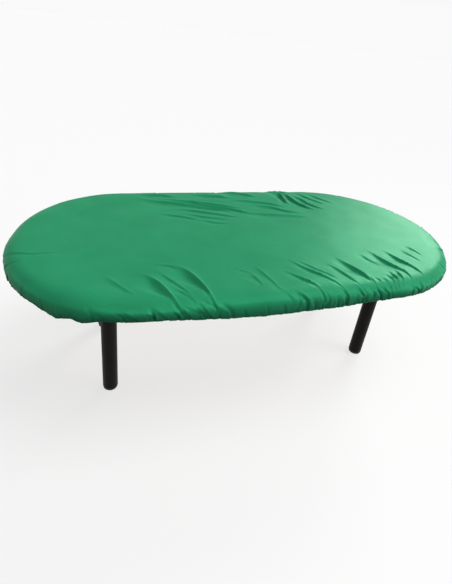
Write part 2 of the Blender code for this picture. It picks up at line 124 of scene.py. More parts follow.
# Folds on the flat cut, in millimetres: the crest's points, its height, the depth of the
# trough on its right-hand side, and the fold's half width at its start and at its end.
FOLDS_MM = [
    # Two deep folds at the front, left of the middle, with small ones between them.
    ([(-630, -335), (-590, -380), (-560, -435), (-525, -530), (-500, -605), (-475, -655),
      (-440, -700)], 15, 12, 38, 8),
    ([(-485, -280), (-440, -315), (-410, -360), (-385, -430), (-362, -510), (-350, -580),
      (-335, -640), (-310, -700)], 14, 11, 40, 8),
    ([(-555, -310), (-510, -400), (-465, -485), (-425, -580)], 4, 3, 16, 9),
    ([(-500, -480), (-445, -560), (-415, -605)], 3, 3, 13, 7),
    ([(-560, -280), (-490, -290), (-440, -330)], 3, 3, 20, 14),
    ([(-435, -600), (-405, -635), (-365, -690)], 5, 6, 12, 7),
    ([(-415, -590), (-385, -635), (-345, -690)], 5, 5, 11, 7),
    ([(-500, -590), (-475, -630), (-435, -690)], 5, 5, 12, 7),
    ([(-620, -585), (-580, -625), (-530, -690)], 5, 5, 18, 9),
    ([(-740, -590), (-700, -625), (-650, -690)], 5, 4, 18, 9),
    ([(-790, -330), (-745, -400), (-700, -470), (-660, -520)], 4, 3, 34, 18),
    # Faint ones at the middle of the front.
    ([(-80, -330), (-55, -410), (-35, -510), (-30, -570)], 3, 3, 30, 14),
    ([(-115, -400), (-105, -460), (-95, -530)], 3, 3, 24, 12),
    ([(-190, -360), (-150, -380), (-110, -410)], 1, 2, 14, 10),
    ([(-40, -530), (0, -590), (30, -640)], 3, 3, 14, 8),
    ([(45, -560), (55, -620), (40, -690)], 3, 3, 12, 7),
    # The front, right of the middle.
    ([(110, -290), (145, -345), (190, -420), (240, -490), (280, -570), (300, -630), (310, -700)],
     6, 6, 18, 6),
    ([(50, -390), (110, -480), (150, -535), (170, -590), (180, -640), (185, -700)], 6, 6, 16, 6),
    ([(160, -310), (220, -400), (270, -470), (310, -530)], 3, 3, 16, 10),
    ([(290, -350), (330, -400), (350, -460), (375, -550), (400, -610), (420, -700)], 5, 5, 18, 7),
    ([(395, -300), (420, -385), (440, -440), (460, -510), (460, -585), (445, -640), (430, -700)],
     11, 9, 27, 8),
    ([(340, -540), (370, -590), (385, -640), (390, -700)], 6, 6, 12, 6),
    ([(465, -490), (475, -550), (475, -610), (490, -660), (500, -700)], 7, 7, 13, 7),
    ([(495, -520), (510, -560), (515, -630)], 6, 6, 10, 6),
    ([(530, -530), (550, -575), (540, -650)], 6, 6, 11, 6),
    ([(575, -500), (585, -560), (565, -640)], 5, 6, 11, 6),
    ([(610, -480), (610, -555), (585, -640)], 6, 7, 12, 6),
    ([(655, -475), (645, -550), (610, -630)], 6, 7, 12, 6),
    ([(630, -250), (650, -360), (675, -440), (700, -500), (695, -560), (670, -640)], 9, 8, 25, 8),
    ([(730, -260), (750, -370), (775, -440), (785, -510), (770, -580)], 8, 8, 22, 8),
    ([(560, -290), (575, -370), (610, -440)], 3, 3, 20, 10),
    ([(840, -270), (860, -360), (870, -430)], 3, 3, 18, 10),
    ([(900, -230), (920, -300), (925, -370)], 3, 3, 18, 10),
    # The back, pulled into long shallow folds.
    ([(-560, 550), (-480, 490), (-390, 455), (-300, 430), (-170, 380), (-60, 340), (100, 250)],
     10, 8, 34, 22),
    ([(-250, 480), (-160, 420), (-10, 350), (160, 240)], 9, 9, 32, 18),
    ([(-400, 520), (-280, 470), (-140, 430), (0, 380), (120, 330)], 8, 8, 30, 20),
    ([(-460, 300), (-330, 250), (-200, 180)], 4, 4, 22, 16),
    ([(-230, 200), (-120, 140), (-40, 130)], 3, 3, 20, 14),
    ([(-360, 370), (-200, 310), (-40, 240), (60, 200)], 5, 5, 22, 16),
    ([(-300, 290), (-160, 220), (-20, 180)], 4, 4, 20, 14),
    ([(60, 280), (240, 240), (360, 215), (530, 185)], 6, 6, 26, 18),
    ([(120, 390), (290, 350), (380, 285), (500, 250)], 7, 6, 26, 18),
    ([(30, 470), (160, 450), (300, 410), (420, 340)], 7, 6, 26, 18),
    ([(420, 610), (445, 530), (440, 440), (450, 390)], 15, 14, 30, 16),
    ([(490, 620), (500, 480), (530, 370), (600, 280)], 11, 10, 26, 16),
    ([(530, 560), (570, 460), (600, 370), (680, 280)], 8, 5, 26, 16),
    ([(580, 600), (640, 470), (720, 360)], 6, 4, 26, 14),
    ([(660, 580), (720, 460), (800, 370)], 5, 3, 26, 14),
    ([(-540, 565), (-390, 560), (-280, 520)], 8, 7, 26, 18),
    ([(-200, 560), (-50, 540), (80, 500)], 9, 7, 28, 18),
    ([(10, 600), (145, 575), (265, 510)], 10, 8, 34, 20),
    ([(300, 630), (400, 610), (550, 580)], 10, 4, 28, 18),
    # The left end, smooth but for two creases drawn in from its rim.
    ([(-1250, -60), (-1125, -115), (-1040, -120), (-955, -115)], 3, 3, 14, 10),
    ([(-1250, -140), (-1190, -170), (-1120, -180)], 3, 3, 12, 8),
]
FOLDS = [[np.array(part) / 1000 for part in fold] for fold in FOLDS_MM]

# Gathers round the hem: from one angle round the table to another, in degrees from the
# right-hand end and anticlockwise, how many to a metre, their height and their length, and
# how far they may lean anticlockwise as they climb, for each unit of length.
GATHERS = [
    (0, 60, 24, 0.0030, 0.085, -0.5, 0.5),
    (60, 120, 22, 0.0034, 0.075, -0.5, 0.5),
    (120, 200, 16, 0.0022, 0.070, -0.5, 0.5),
    (200, 250, 11, 0.0028, 0.060, -1.0, 0.2),
    (250, 270, 12, 0.0050, 0.085, -1.1, -0.5),
    (270, 290, 30, 0.0046, 0.080, -0.6, 0.3),
    (290, 360, 34, 0.0040, 0.090, -0.5, 0.5),
]
# The same along the straight sides: the side, from one x to another, and then as above.
STRAIGHT_GATHERS = [
    (-1, -0.59, -0.20, 13, 0.0052, 0.090, -1.2, -0.5),
    (-1, -0.20, 0.10, 14, 0.0028, 0.060, -0.8, 0.1),
    (-1, 0.10, 0.59, 34, 0.0044, 0.085, -0.6, 0.3),
    (1, -0.59, 0.59, 18, 0.0030, 0.085, 0.5, -0.5),
]
HEM_OVERRUN = 0.004  # how far past the hem a gather starts
# How the gathers differ: the gaps between them, their lengths and their heights, as shares
# of the values above, and their half widths. A trough is deeper than its crest is high.
GATHER_GAPS, GATHER_LENGTHS, GATHER_HEIGHTS = (0.5, 1.5), (0.5, 1.4), (0.4, 1.5)
GATHER_WIDTHS = (0.005, 0.011)
GATHER_TROUGH = 1.2
# Slow waves over the whole sheet.
WAVES = 12
WAVE_LENGTHS = (0.14, 0.55)
WAVE_SLOPE = 0.0009

# Along the edge, anticlockwise in metres from the middle of the right-hand end: how much
# lower the hem hangs than usual, and which of the BENDS the sheet follows. Two loose lobes
# hang at the front left.
HEM_DROPS = [
    (0.0, -0.004), (1.2, 0.0), (3.4, -0.004), (3.60, -0.008), (3.72, 0.014), (3.79, -0.006),
    (3.845, 0.002), (3.92, -0.022), (4.05, -0.023), (4.20, -0.018), (4.30, -0.010),
    (4.45, 0.002), (4.60, 0.010), (4.80, 0.008), (5.0, 0.004), (5.15, -0.006), (5.35, -0.018),
    (5.6, -0.016), (5.90, -0.010), (6.31, -0.004),
]
EDGE_KINDS = [
    (0.0, "square"), (2.6, "square"), (3.0, "slack"), (3.50, "slack"), (3.80, "drawn"),
    (5.0, "drawn"), (5.2, "tight"), (5.4, "tight"), (5.75, "slack"), (6.31, "square"),
]

# ---- the camera and the studio ----

CAMERA_AT = (-0.843, -1.988, 1.792)
CAMERA_YAW, CAMERA_PITCH, CAMERA_ROLL = 20.92, 28.28, 7.26  # degrees
CAMERA_LENS = 26.4
CAMERA_SHIFT = (-0.006, -0.072)
FLOOR_GREY = (0.13, 0.13, 0.13)
FLOOR_GLOW = 0.69
# Soft lights, as name: degrees anticlockwise from +X, degrees up, width in degrees, power.
DISTANT_LIGHTS = {
    "ceiling": (-12.0, 60.0, 40.0, 3.2), "window": (40.0, 27.0, 24.0, 3.3),
    "right": (-14.0, 12.0, 50.0, 0.8), "left": (166.0, 12.0, 40.0, 1.0),
}
# A softbox: its place, what it faces, its width and height, and its power.
RIGHT_FILL = ((4.2, -2.6, 1.4), (0.9, -0.4, 0.7), (2.5, 2.0), 130)
SKY = [(0.0, 0.95), (0.06, 0.95), (0.40, 0.42), (0.90, 0.38), (0.97, 1.6)]  # height, grey

# ---- under the cover and below the deck ----

RING_LOW, RING_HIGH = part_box("rail_ring")
BOLT_LOW, BOLT_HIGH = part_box("pivot_bolt_front_left")
PIN_LOW, PIN_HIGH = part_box("pull_pin_front_left")
SKIN = 0.002  # of the rail, where it wraps the ring
RAIL_SAMPLES = 560
RAIL_STEPS = 25
RAIL_CREASE = 0.004  # depth of the creases inside the round ends
CREASE_WAVES = 5
CREASE_LENGTHS = (0.022, 0.060)
SEAMS = [0.0, 2 * REACH, PERIMETER / 2, PERIMETER / 2 + 2 * REACH]  # places round the rail
SEAM_REACH = 0.018
SEAM_ROWS = 31
SEAM_DEPTH = 0.0022
SEAM_WIDTH = 0.0018
STITCH_RADIUS = 0.0005
STITCH_OFFSET = 0.0045
STITCH_SPAN = (0.30, 2.84)  # radians over the dome
STITCH_SPACING = 0.13
STITCH_SHARE = 0.6  # of the spacing that a stitch covers
STITCH_LIFT = 0.0004
CLOTH_SAMPLES = 320
CLOTH_TUCK, TUCK_REACH = 0.0008, 0.006  # how the cloth dips at its edge, and how far in
CLOTH_RIPPLE, RIPPLE_REACH = 0.00015, 0.05
LINE_INSET = 0.280
LINE_WIDTH = 0.006
PIVOT_Z = (BOLT_LOW.z + BOLT_HIGH.z) / 2
PIVOT_RADIUS = 0.005
HEAD_GRIP = 0.006
HEAD_FLATS = 0.0155
PIN_Z = (PIN_LOW.z + PIN_HIGH.z) / 2
PIN_RADIUS = 0.005
KNOB_RADIUS = 0.011
KNOB_LENGTH = 0.015
KNURLS = 24
KNURL_DEPTH = 0.055  # share of the radius
LEG_SIDES = 96
TUBE_WALL = 0.002
CAP_FLANGE = 0.003
PAD_THICK = 0.012
STEM_RADIUS = 0.005
THREAD_PITCH, THREAD_DEPTH = 0.0015, 0.0007
SCREW_HEAD_RADIUS = 0.005
SCREW_HEAD_THICK = 0.003
SCREW_RADIUS = 0.0025
BOLT_FLATS = 0.0150
BOLT_HEAD_THICK = 0.005
BOLT_WASHER_THICK = 0.0013
BOLT_WASHER_RADIUS = 0.010
BOLT_RADIUS = 0.004
RAIL_BOLTS = ("front_left", "front_right", "back_left", "back_right", "left_end", "right_end")

# ---- meshes ----


def mesh_from(name, points, faces):
    mesh = bpy.data.meshes.new(name)
    mesh.from_pydata([tuple(map(float, point)) for point in points], [], faces)
    mesh.update()
    return mesh


def closed_rings(count, size, closed=False):
    """Faces of a body through rings of points, its ends filled unless it closes on itself."""
    faces = []
    for ring in range(count if closed else count - 1):
        low, high = ring * size, (ring + 1) % count * size
        for i in range(size):
            j = (i + 1) % size
            faces.append((low + i, low + j, high + j, high + i))
    if not closed:
        faces.append(tuple(range(size))[::-1])
        faces.append(tuple(range((count - 1) * size, count * size)))
    return faces


def facing_out(mesh):
    shape = bmesh.new()
    shape.from_mesh(mesh)
    bmesh.ops.recalc_face_normals(shape, faces=shape.faces)
    shape.to_mesh(mesh)
    shape.free()
    return mesh


def give_attribute(mesh, name, values):
    """Stores a number or a vector for each point of a mesh."""
    kind, field = ("FLOAT", "value") if values.ndim == 1 else ("FLOAT_VECTOR", "vector")
    attribute = mesh.attributes.new(name, kind, "POINT")
    attribute.data.foreach_set(field, values.ravel().astype(np.float32))


def mark_cut(mesh, plan):
    """Stores where each point lies on the flat cut, for the weave and the puckers."""
    give_attribute(mesh, "cut", np.column_stack([plan, np.zeros(len(plan))]))


def turned(name, profile, steps, closed=False):
    """A body turned about Z, hollow if its profile closes.

    The profile holds (radius, z), or (radius, z, outline) for a ring that is cut to a
    six-sided or a knurled outline, which gives the radius at each turn.
    """
    points = []
    for radius, z, *cut in profile:
        for step in range(steps):
            turn = math.tau * step / steps
            reach = min(radius, cut[0](turn)) if cut else radius
            points.append((reach * math.cos(turn), reach * math.sin(turn), z))
    return facing_out(mesh_from(name, points, closed_rings(len(profile), steps, closed)))


def in_scene(name, data):
    made = bpy.data.objects.new(name, data)
    bpy.context.scene.collection.objects.link(made)
    return made


def piece(name, mesh, body, material, replaced=(), smooth=35):
    """Puts a mesh in the scene as a piece that rides on a body."""
    mesh.materials.append(material)
    mesh.shade_smooth()
    mesh.set_sharp_from_angle(angle=math.radians(smooth))
    made = in_scene(name, mesh)
    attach(made, body)
    if replaced:
        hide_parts(*replaced)
    return made


# ---- materials ----

DUST = (0.10, 0.095, 0.085)
LINE_COLOUR = (0.62, 0.60, 0.48)


def start_material(name, colour, roughness, metallic=0.0, specular=0.5):
    made = bpy.data.materials.new(name)
    made.use_nodes = True
    tune(made, {"Base Color": (*colour, 1.0), "Roughness": roughness, "Metallic": metallic,
                "Specular IOR Level": specular})
    return made


def tune(made, settings):
    """Sets inputs of a material's shader by their names."""
    shader = made.node_tree.nodes["Principled BSDF"]
    for socket, value in settings.items():
        shader.inputs[socket].default_value = value


def add_node(made, kind, links=None, **settings):
    """Adds a node to a material or a world, sets its inputs and properties, and links it."""
    tree = made.node_tree
    node = tree.nodes.new(kind)
    for name, value in settings.items():
        socket = name.replace("_", " ").title()
        if socket in node.inputs:
            node.inputs[socket].default_value = value
        else:
            setattr(node, name, value)
    for name, source in (links or {}).items():
        tree.links.new(source, node.inputs[name])
    return node


def coordinates(made, scale=(1, 1, 1), attribute=None):
    """Object coordinates, or those of a mesh attribute, stretched by scale."""
    if attribute:
        source = add_node(made, "ShaderNodeAttribute", attribute_name=attribute)
        place = source.outputs["Vector"]
    else:
        place = add_node(made, "ShaderNodeTexCoord").outputs["Object"]
    mapping = add_node(made, "ShaderNodeMapping", {"Vector": place}, scale=scale)
    return mapping.outputs["Vector"]


def texture(made, kind, place, output, **settings):
    """Adds a texture node and gives one of its outputs."""
    node = add_node(made, "ShaderNodeTex" + kind, {"Vector": place}, **settings)
    return node.outputs[output]


def noise(made, place, scale, detail=3.0, roughness=0.5):
    return texture(made, "Noise", place, "Fac", scale=scale, detail=detail, roughness=roughness)


def wave(made, place, scale, direction, distortion=0.0):
    settings = {"scale": scale, "distortion": distortion}
    return texture(made, "Wave", place, "Fac", bands_direction=direction, **settings)


def cells(made, place, scale):
    return texture(made, "Voronoi", place, "Distance", scale=scale)


def crosshatch(made, place, scale, distortion=0.0):
    """Threads that cross at right angles."""
    weft = wave(made, place, scale, "X", distortion)
    return combine(made, "MULTIPLY", weft, wave(made, place, scale, "Y", distortion))


def stored(made, name):
    """The number that a mesh's points hold under a name."""
    return add_node(made, "ShaderNodeAttribute", attribute_name=name).outputs["Fac"]


def combine(made, operation, first, second):
    node = add_node(made, "ShaderNodeMath", operation=operation)
    for socket, value in zip(node.inputs, (first, second)):
        if isinstance(value, (int, float)):
            socket.default_value = value
        else:
            made.node_tree.links.new(value, socket)
    return node.outputs["Value"]


def blend(made, first, second, share):
    """Adds a share of the first value to the rest of the second."""
    return combine(made, "ADD", combine(made, "MULTIPLY", first, share),
                   combine(made, "MULTIPLY", second, 1 - share))


def spread(made, factor, low, high, start=0.3, end=0.7):
    """Stretches a factor from start..end to low..high."""
    node = add_node(made, "ShaderNodeMapRange", {"Value": factor})
    limits = {"From Min": start, "From Max": end, "To Min": low, "To Max": high}
    for socket, value in limits.items():
        node.inputs[socket].default_value = value
    return node.outputs["Result"]


def scaled(colour, factor):
    return tuple(part * factor for part in colour)


def layer(made, under, factor, over):
    """Colours the material from one colour to another by a factor.

    The colour under may be an earlier layer.
    """
    links = made.node_tree.links
    node = add_node(made, "ShaderNodeMix", {"Factor": factor}, data_type="RGBA")
    first, second = (socket for socket in node.inputs if socket.type == "RGBA")
    if isinstance(under, tuple):
        first.default_value = (*under, 1.0)
    else:
        links.new(under, first)
    second.default_value = (*over, 1.0)
    result = next(socket for socket in node.outputs if socket.type == "RGBA")
    to_shader(made, result, "Base Color")
    return result


def to_shader(made, result, socket):
    shader = made.node_tree.nodes["Principled BSDF"]
    made.node_tree.links.new(result, shader.inputs[socket])


def bumped(made, height, distance, strength, under=None):
    """Raises the surface by a height map, over an earlier bump if one is given."""
    links = {"Height": height, "Normal": under} if under else {"Height": height}
    node = add_node(made, "ShaderNodeBump", links, distance=distance, strength=strength)
    to_shader(made, node.outputs["Normal"], "Normal")
    return node.outputs["Normal"]


def satin(name, colour):
    """Satin polyester: a fine weave, drawn threads, small puckers and a soft wide sheen, with
    painted shade that darkens its skirt towards the hem.
    """
    made = start_material(name, colour, 0.36, 0.08, specular=0.015)
    tune(made, {"Specular Tint": (0.50, 1.0, 0.68, 1.0), "Sheen Weight": 0.05,
                "Sheen Roughness": 0.45, "Sheen Tint": (0.55, 1.0, 0.75, 1.0)})
    cut = coordinates(made, attribute="cut")
    blotch = noise(made, cut, 5.0, 4.0)
    threads = noise(made, coordinates(made, (6, 900, 1), "cut"), 1.0, 2.0)
    fleck = spread(made, blend(made, blotch, threads, 0.6), 0, 1)
    plain = layer(made, scaled(colour, 0.90), fleck, scaled(colour, 1.10))
    # painted shade: the colour darkens over the skirt, down towards the hem
    painted_shade = spread(made, stored(made, "from_hem"), 0.85, 0.0, *PAINTED_HEM_SHADE)
    layer(made, plain, painted_shade, scaled(colour, 0.35))
    to_shader(made, spread(made, noise(made, cut, 14.0, 3.0), 0.33, 0.40), "Roughness")
    woven_in = bumped(made, crosshatch(made, cut, 480.0), 0.00006, 0.5)
    long_pucker = noise(made, coordinates(made, (9, 34, 9), "cut"), 1.0, 3.0, 0.55)
    puckered = bumped(made, long_pucker, 0.0010, 0.5, woven_in)
    bumped(made, noise(made, cut, 62.0, 3.0, 0.6), 0.00035, 0.5, puckered)
    return made


def clouded(name, colour, factor, cloud, roughness, specular=0.5, metallic=0.0, window=(0.3, 0.7)):
    """A coat whose colour and roughness vary together in soft patches."""
    made = start_material(name, colour, roughness[0], metallic, specular)
    place = coordinates(made)
    tone = noise(made, place, *cloud)
    coat = layer(made, colour, spread(made, tone, 0, 1, *window), scaled(colour, factor))
    if roughness[0] < roughness[1]:
        to_shader(made, spread(made, tone, *roughness), "Roughness")
    return made, place, tone, coat


def vinyl(name, colour):
    """Upholstery vinyl with a leather grain, worn a little smoother in patches."""
    made, place, _, _ = clouded(name, colour, 1.7, (9.0, 4.0), (0.36, 0.54))
    normal = bumped(made, cells(made, place, 620.0), 0.0004, 0.45)
    bumped(made, noise(made, place, 150.0, 3.0), 0.0005, 0.35, normal)
    return made


def woven(name, colour, light, scale=520.0):
    """Flat woven cloth with a crosshatch of light and dark threads."""
    made = start_material(name, colour, 0.82, specular=0.25)
    tune(made, {"Sheen Weight": 0.3})
    place = coordinates(made)
    weave = crosshatch(made, place, scale, 0.6)
    mottled = blend(made, weave, noise(made, place, 26.0, 5.0), 0.5)
    layer(made, colour, spread(made, mottled, 0, 1), light)
    bumped(made, weave, 0.0002, 0.5)
    return made


def wood(name, pale, dark, laminate=False):
    """Timber or plywood, its grain along X, with pores, and plies if laminated."""
    made = start_material(name, pale, 0.6, specular=0.35)
    scale = (1.6, 26, 26)
    place = coordinates(made, scale)
    figure = noise(made, place, 1.0, 6.0, 0.6)
    streaks = wave(made, place, 0.7, "Y", 5.0)
    grain = blend(made, figure, streaks, 0.7)
    coat = layer(made, pale, spread(made, grain, 0, 1, 0.25, 0.75), dark)
    pores = noise(made, coordinates(made, scaled(scale, 4)), 3.0, 3.0)
    coat = layer(made, coat, spread(made, pores, 0, 0.55, 0.55, 0.72), dark)
    if laminate:
        plies = wave(made, coordinates(made, (0.1, 0.1, 1)), 105.0, "Z", 0.4)
        sides = add_node(made, "ShaderNodeNewGeometry")
        upright = add_node(made, "ShaderNodeSeparateXYZ", {"Vector": sides.outputs["Normal"]})
        flat = combine(made, "ABSOLUTE", upright.outputs["Z"], 0)
        edge = combine(made, "MULTIPLY", spread(made, flat, 1, 0), plies)
        layer(made, coat, combine(made, "MULTIPLY", edge, 0.7), scaled(dark, 0.5))
    to_shader(made, spread(made, grain, 0.5, 0.72), "Roughness")
    bumped(made, pores, 0.0003, 0.4)
    return made


def foam(name, colour):
    made, place, _, coat = clouded(name, colour, 0.8, (12.0, 4.0), (0.95, 0.95), 0.2)
    pores = cells(made, place, 420.0)
    # painted shade: the pores are darkened as the shade in their hollows
    layer(made, coat, spread(made, pores, 0.5, 0, 0.05, 0.3), scaled(colour, 0.5))
    bumped(made, pores, 0.0008, 0.7)
    return made


def powder_coat(name, colour, roughness):
    """Painted steel with a fine orange peel, dust and faint scuffs."""
    rough = (roughness - 0.06, roughness + 0.12)
    cloud, window = (11.0, 6.0, 0.65), (0.35, 0.75)
    made, place, _, coat = clouded(name, colour, 2.0, cloud, rough, 0.08, window=window)
    scuffs = noise(made, coordinates(made, (60, 60, 5)), 3.0, 5.0, 0.7)
    pale = tuple(0.06 + part for part in colour)
    layer(made, coat, spread(made, scuffs, 0, 0.5, 0.66, 0.74), pale)
    bumped(made, noise(made, place, 900.0, 2.0), 0.00025, 0.4)
    return made


def plated(name, colour, roughness):
    """Zinc-plated steel: cloudy, with fine turning marks."""
    rough = (roughness - 0.08, roughness + 0.14)
    made, *_ = clouded(name, colour, 0.72, (90.0, 5.0, 0.6), rough, metallic=1.0)
    marks = noise(made, coordinates(made, (40, 40, 2400)), 1.0, 2.0)
    bumped(made, marks, 0.00008, 0.4)
    return made


def moulded(name, colour, roughness, grain):
    """Moulded plastic or rubber with a fine grain, and dust in patches."""
    rough = (roughness - 0.06, roughness + 0.10)
    made, place, speck, coat = clouded(name, colour, 1.5, (34.0, 6.0, 0.7), rough, 0.4)
    layer(made, coat, spread(made, speck, 0, 0.4, 0.58, 0.72), DUST)
    bumped(made, noise(made, place, grain, 2.0), 0.00025, 0.5)
    return made


# ---- the shape of the cover, worked out on its flat cut ----


def smooth(value):
    """Eases 0..1 in and out, and holds it there beyond."""
    held = np.clip(value, 0, 1)
    return held * held * (3 - 2 * held)


def edge_profile(bends):
    """The cover's edge, sampled evenly from the flat to the hem: inset, fall and tilt."""
    margin, longest = 0.02, 0.22
    along = np.arange(-margin, longest, EDGE_STEP)
    sharp = np.interp(along, *zip(*bends))
    ease = int(BEND_EASE / EDGE_STEP)
    tilt = np.radians(np.convolve(sharp, np.ones(ease) / ease, "same"))[along >= 0]
    across = np.cumsum(np.cos(tilt) * EDGE_STEP)
    fall = np.cumsum(np.sin(tilt) * EDGE_STEP)
    used = fall < TOP - HEM
    across, fall = across[used], fall[used]
    flat = np.arange(0, EDGE_INSET - across.max(), EDGE_STEP)
    inset = np.concatenate([EDGE_INSET - flat, across.max() - across])
    fall = np.concatenate([0 * flat, fall])
    length = len(fall) * EDGE_STEP
    even = np.linspace(0, len(fall) - 1, EDGE_STEPS)
    inset = np.interp(even, np.arange(len(inset)), inset)
    fall = np.interp(even, np.arange(len(fall)), fall)
    tilt = np.arctan2(np.gradient(fall), -np.gradient(inset))
    return length, inset, fall, tilt


EDGES = {kind: edge_profile(bends) for kind, bends in BENDS.items()}
EDGE_LENGTH = EDGES["tight"][0]
FLAT_RADIUS = RADIUS - EDGE_INSET
CUT_RADIUS = FLAT_RADIUS + EDGE_LENGTH


def round_the_table(plan):
    """Each point's distance and direction from the line between the round ends' centres."""
    spine_x = np.clip(plan[:, 0], -REACH, REACH)
    offset = plan - np.column_stack([spine_x, np.zeros(len(plan))])
    reach = np.hypot(offset[:, 0], offset[:, 1])
    outward = offset / np.maximum(reach, 1e-9)[:, None]
    return spine_x, reach, outward


def place_round(spine_x, outward):
    """How far round the edge each point is, anticlockwise from the right-hand end's middle."""
    turn = np.arctan2(outward[:, 1], outward[:, 0])
    straight = np.where(outward[:, 1] > 0, REACH - spine_x, REACH + spine_x)
    return (turn % math.tau) * RADIUS + np.where(turn > 0, straight, 2 * REACH + straight)


def rail_height(inset):
    """Height of the rail's domed top at each inset, and far below it elsewhere."""
    across = (inset - RAIL_MIDDLE) / RAIL_HALF
    dome = RAIL_DOME * np.sqrt(np.clip(1 - across**2, 0, 1))
    return np.where(np.abs(across) < 1, RAIL_TOP - RAIL_DOME + dome, 0)


def edge_at(place, beyond):
    """Inset, fall and tilt of the edge, its kinds blended by the place round the table."""
    steps = np.linspace(0, 1, EDGE_STEPS)
    places, kinds = zip(*EDGE_KINDS)
    blended = np.zeros((3, len(place)))
    for kind, (_, *profile) in EDGES.items():
        share = np.interp(place, places, [float(kind == other) for other in kinds])
        blended += [share * np.interp(beyond, steps, part) for part in profile]
    return blended


def on_the_table(plan, lift):
    """Lays points of the flat cut over the table, moved out along its normal by lift."""
    spine_x, reach, outward = round_the_table(plan)
    place = place_round(spine_x, outward)
    beyond = (reach - FLAT_RADIUS) / EDGE_LENGTH
    inset, fall, tilt = edge_at(place, beyond)
    inset = np.where(beyond > 0, inset, RADIUS - reach)
    across = RADIUS - inset + lift * np.sin(tilt)
    sag = SAG * smooth((inset - SAG_START) / (SAG_FULL - SAG_START))
    height = TOP - fall - sag + lift * np.cos(tilt)
    spare = height - rail_height(RADIUS - across) - SHEET_THICK - RAIL_SPARE
    held = RAIL_SPARE * np.exp(np.minimum(spare / RAIL_SPARE - 1, 0)) - RAIL_SPARE
    resting = (spare < RAIL_SPARE) & (tilt < TOP_TILT)
    height -= np.where(resting, spare - RAIL_SPARE - held, 0)
    skirt = smooth((beyond - SKIRT_START) / (1 - SKIRT_START))
    height -= skirt * np.interp(place, *zip(*HEM_DROPS))
    x = spine_x + outward[:, 0] * across
    return np.column_stack([x, outward[:, 1] * across, height])


def smooth_line(points, step=0.008):
    """A curve through the points, as closely spaced points."""
    ends = [2 * np.array(points[0]) - points[1], 2 * np.array(points[-1]) - points[-2]]
    knots = np.array([ends[0], *points, ends[1]])
    line = []
    for before, start, end, after in zip(knots, knots[1:], knots[2:], knots[3:]):
        count = max(2, int(np.linalg.norm(end - start) / step))
        for t in np.arange(count) / count:
            square, cube = t * t, t * t * t
            line.append(0.5 * (2 * start + (end - before) * t
                               + (2 * before - 5 * start + 4 * end - after) * square
                               + (3 * start - before - 3 * end + after) * cube))
    return np.array([*line, points[-1]])


def beside(line, plan):
    """For each point: its place along a line from 0 to 1, and its distance to the right."""
    start, run = line[:-1], np.diff(line, axis=0)
    length = np.hypot(run[:, 0], run[:, 1])
    towards = plan[:, None, :] - start[None]
    along = np.clip((towards * run).sum(2) / length**2, 0, 1)
    gap = towards - along[..., None] * run
    distance = np.hypot(gap[..., 0], gap[..., 1])
    nearest = distance.argmin(1)
    rows = np.arange(len(plan))
    passed = np.append(0, np.cumsum(length))
    place = (passed[nearest] + along[rows, nearest] * length[nearest]) / passed[-1]
    near_run, near_gap = run[nearest], gap[rows, nearest]
    cross = near_run[:, 0] * near_gap[:, 1] - near_run[:, 1] * near_gap[:, 0]
    return place, distance[rows, nearest] * np.where(cross > 0, -1, 1)


def close_to(line, plan, margin):
    """The numbers of the points in a box round a line."""
    low, high = line.min(0) - margin, line.max(0) + margin
    return np.flatnonzero(((plan > low) & (plan < high)).all(1))


def add_fold(lift, plan, fold):
    """Adds one fold: a crest that falls off steeply into a trough on one side.

    The trough is on the right-hand side along the fold, or on the left if it is negative.
    """
    points, crest, trough, start_width, end_width = fold
    line = smooth_line(points)
    near = close_to(line, plan, 3 * max(start_width, end_width))
    if not len(near):
        return
    place, right = beside(line, plan[near])
    side = right if trough >= 0 else -right
    narrowing = smooth((place - NARROW_START) / NARROW_LENGTH)
    width = start_width + (end_width - start_width) * narrowing
    _, end_reach, _ = round_the_table(line[-1:])
    if end_reach[0] < HEM_REACH:
        ending = smooth((1 - place) / END_LENGTH)
    else:
        ending = smooth((HEM_END - place) / HEM_END_LENGTH)
    size = smooth(place / FOLD_RISE) * ending * (width / start_width) ** SIZE_POWER
    height, sunk = crest * size, abs(trough) * size
    flank = np.maximum(side, 0) / width
    fallen = (height + sunk) * np.clip(1 - flank / FLANK, 0, 1) ** 2
    shaded = fallen - sunk * (1 - smooth((flank - FLANK) / TROUGH_WIDTH))
    ridge = RIDGE_SHARE * height * np.exp(-(side / (RIDGE_WIDTH * width)) ** 2)
    swell = (1 - RIDGE_SHARE) * height / (1 + (side / (SWELL_WIDTH * width)) ** 2)
    lift[near] += np.where(side > 0, shaded, swell + ridge)


def gathers(rng):
    """Short folds that run up from the hem, closest together where the elastic pulls most."""
    folds = []
    for start, end, per_metre, *shape in GATHERS:
        angle = start
        while angle < end:
            turn = math.radians(angle)
            outward = np.array([math.cos(turn), math.sin(turn)])
            centre = np.array([REACH if outward[0] > 0 else -REACH, 0])
            folds.append(gather(centre, outward, shape, rng))
            angle += math.degrees(rng.uniform(*GATHER_GAPS) / per_metre / CUT_RADIUS)
    for side, start, end, per_metre, *shape in STRAIGHT_GATHERS:
        x = start
        while x < end:
            folds.append(gather(np.array([x, 0]), np.array([0.0, side]), shape, rng))
            x += rng.uniform(*GATHER_GAPS) / per_metre
    return folds


def gather(centre, outward, shape, rng):
    """One gather, from its tip inwards of the hem down to the hem."""
    height, length, lean_low, lean_high = shape
    lean = rng.uniform(lean_low, lean_high) * np.array([-outward[1], outward[0]])
    own_length = length * rng.uniform(*GATHER_LENGTHS)
    foot = centre + outward * (CUT_RADIUS + HEM_OVERRUN)
    tip = foot + (lean - outward) * own_length
    middle = foot + (0.3 * lean - outward) * own_length * 0.5
    own_height = height * rng.uniform(*GATHER_HEIGHTS)
    trough = own_height * rng.choice((-GATHER_TROUGH, GATHER_TROUGH))
    width = rng.uniform(*GATHER_WIDTHS)
    return [tuple(tip), tuple(middle), tuple(foot)], own_height, trough, width, 0.9 * width


